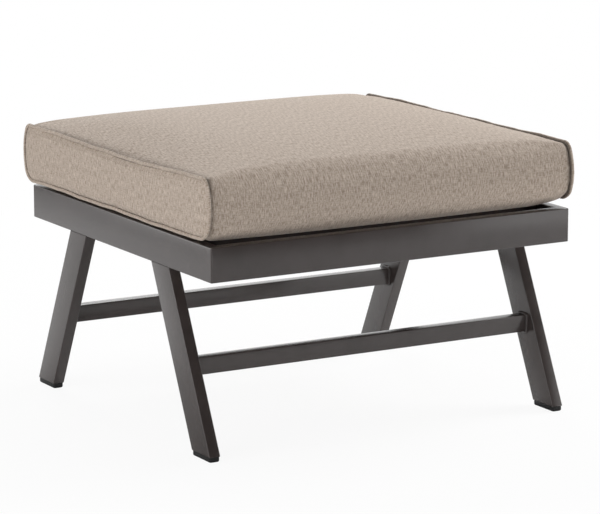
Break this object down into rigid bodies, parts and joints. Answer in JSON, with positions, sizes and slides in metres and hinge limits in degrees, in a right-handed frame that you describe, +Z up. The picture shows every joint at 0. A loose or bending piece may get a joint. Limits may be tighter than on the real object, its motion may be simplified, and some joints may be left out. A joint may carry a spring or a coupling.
{
  "type": "outdoor ottoman footstool",
  "caption": "Square outdoor ottoman: mitred tube frame on raked legs with stretchers, slats under a loose wrap-around box cushion with piped side panels and a rear zip.",
  "frame": {"origin": "on the ground under the middle of the whole footprint", "axes": "+X to the right seen from the front, +Y from front to rear, +Z up"},
  "size_m": [0.6218, 0.6186, 0.439],
  "materials": {
    "frame_coat": "satin powder coat, anthracite",
    "slat_coat": "satin powder coat, anthracite",
    "foot_plastic": "moulded black plastic",
    "fastener_steel": "plain stainless steel",
    "cover_fabric": "heathered greige outdoor weave",
    "cushion_foam": "open-cell seat foam",
    "zip_tape": "woven tape with nylon coil",
    "zip_metal": "dark enamelled zinc"
  },
  "bodies": {
    "frame": {"rail_front": "frame_coat", "rail_rear": "frame_coat", "rail_left": "frame_coat", "rail_right": "frame_coat", "leg_front_left": "frame_coat", "leg_front_right": "frame_coat", "leg_rear_left": "frame_coat", "leg_rear_right": "frame_coat", "stretcher_front": "frame_coat", "stretcher_rear": "frame_coat", "weld_front_left": "frame_coat", "weld_front_right": "frame_coat", "weld_rear_left": "frame_coat", "weld_rear_right": "frame_coat", "slat_ledge_left": "slat_coat", "slat_ledge_right": "slat_coat", "slat_1": "slat_coat", "slat_2": "slat_coat", "slat_3": "slat_coat", "slat_4": "slat_coat", "slat_5": "slat_coat", "foot_front_left": "foot_plastic", "foot_front_right": "foot_plastic", "foot_rear_left": "foot_plastic", "foot_rear_right": "foot_plastic", "slat_screw_left_1": "fastener_steel", "slat_screw_left_2": "fastener_steel", "slat_screw_left_3": "fastener_steel", "slat_screw_left_4": "fastener_steel", "slat_screw_left_5": "fastener_steel", "slat_screw_right_1": "fastener_steel", "slat_screw_right_2": "fastener_steel", "slat_screw_right_3": "fastener_steel", "slat_screw_right_4": "fastener_steel", "slat_screw_right_5": "fastener_steel", "ledge_rivet_left_1": "fastener_steel", "ledge_rivet_left_2": "fastener_steel", "ledge_rivet_left_3": "fastener_steel", "ledge_rivet_left_4": "fastener_steel", "ledge_rivet_right_1": "fastener_steel", "ledge_rivet_right_2": "fastener_steel", "ledge_rivet_right_3": "fastener_steel", "ledge_rivet_right_4": "fastener_steel"},
    "cushion": {"cover_wrap": "cover_fabric", "cover_side_left": "cover_fabric", "cover_side_right": "cover_fabric", "cover_piping_left": "cover_fabric", "cover_piping_right": "cover_fabric", "foam_core": "cushion_foam", "zip_tape": "zip_tape"},
    "zip_slider": {"zip_slider": "zip_metal"},
    "zip_pull": {"zip_pull": "zip_metal"}
  },
  "joints": [
    {"name": "cushion_lift", "type": "slide", "parent": "frame", "child": "cushion", "axis": [0, 0, 1], "range_m": [0, 0.2]},
    {"name": "zip_travel", "type": "slide", "parent": "cushion", "child": "zip_slider", "axis": [1, 0, 0], "range_m": [0, 0.48]},
    {"name": "zip_pull_swing", "type": "hinge", "parent": "zip_slider", "child": "zip_pull", "pos_m": [-0.24065, 0.30738, 0.36715], "axis": [0, 0, -1], "range_deg": [0, 170]}
  ]
}
